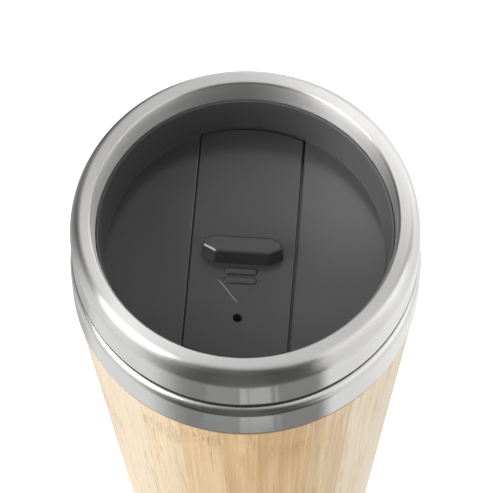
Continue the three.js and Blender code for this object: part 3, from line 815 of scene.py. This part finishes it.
mark_triangle = np.array([(5.85, -8.0), (-5.85, -8.0), (0.0, -14.95)])
mark_levels = [(mark_triangle, MARK_ROOT), (mark_triangle, 0.0)]
mark_levels += [(inset(mark_triangle, MARK_BEVEL + more), MARK_RISE) for more in (0.0, 0.1)]
slider_shells.append(shift(mound(mark_levels, 0.25), x=MARK_PLAY))
for y in MARK_BARS_Y:
    mark_bar = pillow(pill(y, BAR_LENGTH, BAR_WIDTH), BAR_RISE, BAR_ROUND)
    slider_shells.append(shift(mound(mark_bar, 0.0), x=MARK_PLAY))
slider_shells = [shift(s, x=SLIDER_PLAY, z=DECK_Z) for s in slider_shells]
piece("slider_plate", slider_shells, slider_grey, "slider", "slider", sharp=30.0)

# Seal pad under the slider's far end
seal = bar(-SEAL_HALF, SEAL_HALF, level(SEAL_NEAR), circle_y(SEAL_FAR), SEAL_TOP, SEAL_LOW)
piece("slot_seal", [shift(seal, x=SLIDER_PLAY, z=DECK_Z)], silicone, "slider", "slider_seal")

# Camera fitted to the photograph's edges
FOCUS_PX, FRAME_PX = 3500.0, 493.0
ELEVATION, AZIMUTH, ROLL = math.radians(63.12), math.radians(5.25), math.radians(-1.04)
DISTANCE, RIGHT_OF, ABOVE = 858.8, 0.13, 7.14
ce, se, ca, sa = math.cos(ELEVATION), math.sin(ELEVATION), math.cos(AZIMUTH), math.sin(AZIMUTH)
right = np.array([ca, sa, 0.0])
back = np.array([sa * ce, -ca * ce, se])
up = np.array([-sa * se, ca * se, ce])
place = np.array([0, 0, LIP_Z]) + back * DISTANCE - right * RIGHT_OF - up * ABOVE
cr, sr = math.cos(ROLL), math.sin(ROLL)
across, upward = cr * right + sr * up, cr * up - sr * right


def placed(side, rise, away, spot):
    """Matrix of a camera or light at a spot, from its three unit directions."""
    rows = np.stack([side, rise, away, spot], 1)
    return Matrix([*map(tuple, rows), (0, 0, 0, 1)])


lens = bpy.data.cameras.new("camera")
lens.sensor_width = 36.0
lens.lens = FOCUS_PX / FRAME_PX * lens.sensor_width
lens.clip_end = 50.0
camera = bpy.data.objects.new("camera", lens)
camera.matrix_world = placed(across, upward, back, place * MM)
bpy.context.scene.collection.objects.link(camera)
bpy.context.scene.camera = camera
bpy.context.scene.view_settings.view_transform = "Standard"

# Pale floor
FLOOR_GLOW, FLOOR_HALF, FLOOR_ROWS = 1.15, 3000.0, 9
FLOOR_DARK, FLOOR_LIGHT, WHITE, BLACK = grey(0.44), grey(0.48), grey(1.0), grey(0.0)


def floor_finish():
    """Matt white sheet with a trace of tone, lit through like a light table so that it stays pale."""
    material, tree, shader = new_material("pale_floor")
    where = add(tree, "ShaderNodeTexCoord").outputs["Object"]
    tone = noise(tree, where, 3.0, 3.0, 0.5)
    tree.links.new(tint(tree, tone, FLOOR_DARK, FLOOR_LIGHT), shader.inputs["Base Color"])
    set_sockets(shader, Roughness=0.9, Emission_Color=WHITE, Emission_Strength=FLOOR_GLOW)
    return material


def stage_sheet(name, points, faces, material):
    """Flat sheet of the stage from points in millimetres."""
    mesh = bpy.data.meshes.new(name)
    mesh.from_pydata((points.reshape(-1, 3) * MM).tolist(), [], faces.tolist())
    return mesh_object(name, mesh, material)


floor_run = np.linspace(-FLOOR_HALF, FLOOR_HALF, FLOOR_ROWS)
sheet_x, sheet_y = np.meshgrid(floor_run, floor_run, indexing="ij")
floor_points = np.stack([sheet_x, sheet_y, np.zeros_like(sheet_x)], -1)
floor = stage_sheet("floor", floor_points, grid_faces(FLOOR_ROWS, FLOOR_ROWS), floor_finish())

# Ring-shaped card round the foot, which the steel mirrors: grey felt with dark wings in front, pale on the right,
# dimmer on the left and behind. The camera doesn't see it. A pane is its left and right end, in metres, and its
# shine.
CARD_GLOW, CARD_NEAR, CARD_FAR, CARD_Z = 1.2, 42.0, 4400.0, 0.5
CARD_DARK, CARD_LIGHT = grey(0.02), grey(0.05)
MIRRORED_PANES = ((-0.046, -0.011, 0.09), (-0.0105, 0.0005, 0.34), (-0.0005, 0.0262, 0.31), (0.0278, 0.0335, 0.2))
PANE_EDGE = 0.002
PANE_START_R, PANE_STOP_R = (0.104, 0.110), (0.1206, 0.1226)
FELT_R, FELT_NEAR, WING_MIDDLE, WING_DARK = (0.1232, 0.165), 0.25, 0.09, 0.045
BORDER_R, BORDER_SIDE = (0.13, 0.3), (0.0, 0.4)


def card_finish():
    """Glow of the card by direction from the mug and by distance: a side tone on the left and one on the right, each
    with a bright end straight behind, and ahead of the mug a grey felt that darkens with distance, most in two wings,
    and has a pale sheet of panes lying on it. The felt's border is soft on the left and sharp on the right."""
    material, tree, shader = new_material("mirror_card")
    _, radius, cx, cy, _ = around(tree)
    ahead = plus(tree, times(tree, cx, sa), times(tree, cy, -ca))
    aside = plus(tree, times(tree, cx, ca), times(tree, cy, sa))
    straight_back = remap(tree, ahead, -0.99, -0.965, 0.95, 0.0)
    fade = remap(tree, radius, 0.16, 0.42, 1.0, remap(tree, ahead, -0.55, 0.05, 0.25, 0.9))
    left = times(tree, remap(tree, ahead, -0.92, -0.68, 0.22, 0.8), fade, remap(tree, ahead, -0.45, -0.12, 0.6, 1.0))
    left = calc(tree, "MAXIMUM", left, straight_back)
    right = calc(
        tree, "MINIMUM", remap(tree, ahead, -0.95, -0.87, 0.72, 0.92), remap(tree, ahead, 0.0, 0.5, 0.92, 0.84),
    )
    right = calc(tree, "MAXIMUM", right, straight_back)
    right = times(tree, right, remap(tree, radius, 0.2, 0.6, 1.0, remap(tree, ahead, 0.1, 0.4, 1.22, 1.0)))
    sides = between(tree, remap(tree, aside, -0.3, 0.3), left, right)
    wings = remap(tree, calc(tree, "ABSOLUTE", plus(tree, aside, 0.04)), 0.1, 0.34, WING_MIDDLE, WING_DARK)
    felt = remap(tree, radius, *FELT_R, FELT_NEAR, wings)
    side = times(tree, aside, radius)
    sheet = 0.0
    for start, stop, shine in MIRRORED_PANES:
        begun = remap(tree, side, start, start + PANE_EDGE)
        ended = remap(tree, side, stop - PANE_EDGE, stop, 1.0, 0.0)
        sheet = plus(tree, sheet, times(tree, begun, ended, shine))
    sheet = times(tree, sheet, remap(tree, radius, *PANE_START_R), remap(tree, radius, *PANE_STOP_R, 1.0, 0.0))
    felt = plus(tree, felt, sheet)
    near_start, far_start, near_end = (
        remap(tree, aside, *BORDER_SIDE, left_value, right_value)
        for left_value, right_value in ((0.5, 0.67), (0.5, 0.785), (0.87, 0.79))
    )
    border_start = remap(tree, radius, *BORDER_R, near_start, far_start)
    border_end = remap(tree, radius, *BORDER_R, near_end, 0.87)
    glow = between(tree, remap(tree, ahead, border_start, border_end), sides, felt)
    glow = times(tree, glow, 1 / CARD_GLOW)
    tree.links.new(tint(tree, glow, BLACK, WHITE), shader.inputs["Emission Color"])
    tree.links.new(tint(tree, glow, CARD_DARK, CARD_LIGHT), shader.inputs["Base Color"])
    set_sockets(shader, Emission_Strength=CARD_GLOW, Roughness=1.0, Specular_IOR_Level=0.0)
    return material


def card_ring(turns=96, steps=9):
    """Flat ring round the mug's foot: radius from near to far in even ratios, a little above the floor."""
    t = np.linspace(0, 2 * np.pi, turns, endpoint=False)
    r = np.geomspace(CARD_NEAR, CARD_FAR, steps)
    points = np.stack([np.outer(np.cos(t), r), np.outer(np.sin(t), r), np.full((turns, steps), CARD_Z)], -1)
    return points, grid_faces(turns, steps, True)


card = stage_sheet("card", *card_ring(), card_finish())
card.visible_camera = False

# Studio: a pale room with a dark front, soft boxes on the left, on the right, behind and in front, and a narrow beam on
# the right deck. Spots are in metres and powers in watts.
DARK_AZIMUTH = AZIMUTH + math.radians(5.0)


def studio_world():
    """Room light by direction: pale walls that brighten upwards, a bright band low on the back wall, a glow high on the
    right, a dark front in two wings that ends soft on the left and sharp on the right, a dim corner behind on the
    left, a lit one low on the right and a dimmer one high behind on the right."""
    world = bpy.data.worlds.new("studio")
    world.use_nodes = True
    tree = world.node_tree
    look = add(tree, "ShaderNodeTexCoord").outputs["Generated"]
    x, y, z = add(tree, "ShaderNodeSeparateXYZ", {0: look}).outputs

    def corner(strength, **steps):
        """Part of the room: the product of smooth steps along the named axes, each from 0 to 1, times a strength."""
        axes = {"x": x, "y": y, "z": z}
        return times(tree, *(remap(tree, axes[k], *ends) for k, ends in steps.items()), strength)

    flat = calc(tree, "SQRT", plus(tree, times(tree, x, x), times(tree, y, y)))
    flat = calc(tree, "MAXIMUM", flat, 0.001)
    dark_x, dark_y = math.sin(DARK_AZIMUTH), -math.cos(DARK_AZIMUTH)
    ahead = calc(tree, "DIVIDE", plus(tree, times(tree, x, dark_x), times(tree, y, dark_y)), flat)
    ahead = less(tree, ahead, remap(tree, z, 0.35, 0.95, 0.0, 0.18, False))
    aside = calc(tree, "DIVIDE", less(tree, times(tree, x, -dark_y), times(tree, y, -dark_x)), flat)
    start = remap(tree, aside, -0.1, 0.1, 0.68, 0.84)
    front = times(tree, remap(tree, ahead, start, 0.9), remap(tree, z, 0.92, 0.985, 1.0, 0.0))
    wings = remap(tree, calc(tree, "ABSOLUTE", plus(tree, aside, 0.17)), 0.04, 0.24, 0.66, 0.86)
    back_band = corner(0.45, y=(0.3, 0.7), z=(0.85, 0.6))
    high_right = corner(0.45, x=(0.1, 0.45), y=(0.15, -0.1), z=(0.28, 0.58))
    dim_left = corner(0.7, x=(-0.2, -0.6), y=(-0.15, 0.25), z=(0.85, 0.6))
    lit_right = corner(1.1, x=(0.25, 0.7), y=(-0.4, -0.05), z=(0.5, 0.25))
    high_back = corner(0.45, x=(0.1, 0.3), y=(0.1, 0.35), z=(0.5, 0.7))
    walls = plus(tree, remap(tree, z, 0.6, 0.98, 0.34, 0.64), back_band, high_right)
    glow = times(tree, walls, less(tree, 1.0, times(tree, front, wings)))
    glow = times(tree, glow, plus(tree, less(tree, 1.0, dim_left), lit_right), less(tree, 1.0, high_back))
    shade = tree.nodes["Background"]
    tree.links.new(glow, shade.inputs["Strength"])
    shade.inputs["Color"].default_value = WHITE
    bpy.context.scene.world = world


def aimed(name, data, spot, target, power):
    """Light of that power at a spot, facing its target, which the camera doesn't see."""
    data.energy = power
    obj = bpy.data.objects.new(name, data)
    spot, target = np.array(spot, float), np.array(target, float)
    away = (spot - target) / np.linalg.norm(spot - target)
    side = np.cross((0, 0, 1), away)
    side /= np.linalg.norm(side)
    obj.matrix_world = placed(side, np.cross(away, side), away, spot)
    bpy.context.scene.collection.objects.link(obj)
    obj.visible_camera = False
    return obj


def soft_box(name, spot, target, width, height, power):
    """Area light of that width and height."""
    data = bpy.data.lights.new(name, "AREA")
    data.shape, data.size, data.size_y = "RECTANGLE", width, height
    return aimed(name, data, spot, target, power)


def narrow_beam(name, spot, target, radius, power, cone, blend=0.7):
    """Spot light of that radius with a soft-edged cone, in degrees."""
    data = bpy.data.lights.new(name, "SPOT")
    data.spot_size, data.spot_blend, data.shadow_soft_size = math.radians(cone), blend, radius
    return aimed(name, data, spot, target, power)


LID, BODY = (0, 0, 0.15), (0, 0, 0.1)
studio_world()
left_box = soft_box("left_box", (-0.93, -0.25, 0.8), LID, width=0.95, height=0.5, power=9.8)
left_sheet = soft_box("left_sheet", (-0.85, -0.54, 0.66), LID, width=0.8, height=1.1, power=4.6)
left_lamp = soft_box("left_lamp", (-0.8425, -0.527, 0.9), LID, width=0.67, height=0.2, power=5.8)
soft_box("right_box", (0.95, -0.3, 0.42), BODY, width=1.2, height=0.7, power=1.8)
soft_box("back_box", (0.29, 0.77, 1.05), (0.29, 0.76, 0.15), width=0.62, height=0.65, power=2.2)
front_fill = soft_box("front_fill", (-0.2, -1.24, 0.19), BODY, width=1.2, height=0.32, power=10.4)
deck_beam = narrow_beam(
    "deck_beam", (-0.558, -0.346, 1.136), (0.033, 0.023, 0.152), radius=0.01, power=42.0, cone=2.2,
)
for light in (left_box, front_fill, deck_beam):
    light.visible_glossy = False
for light in (left_sheet, left_lamp):
    light.visible_diffuse = False
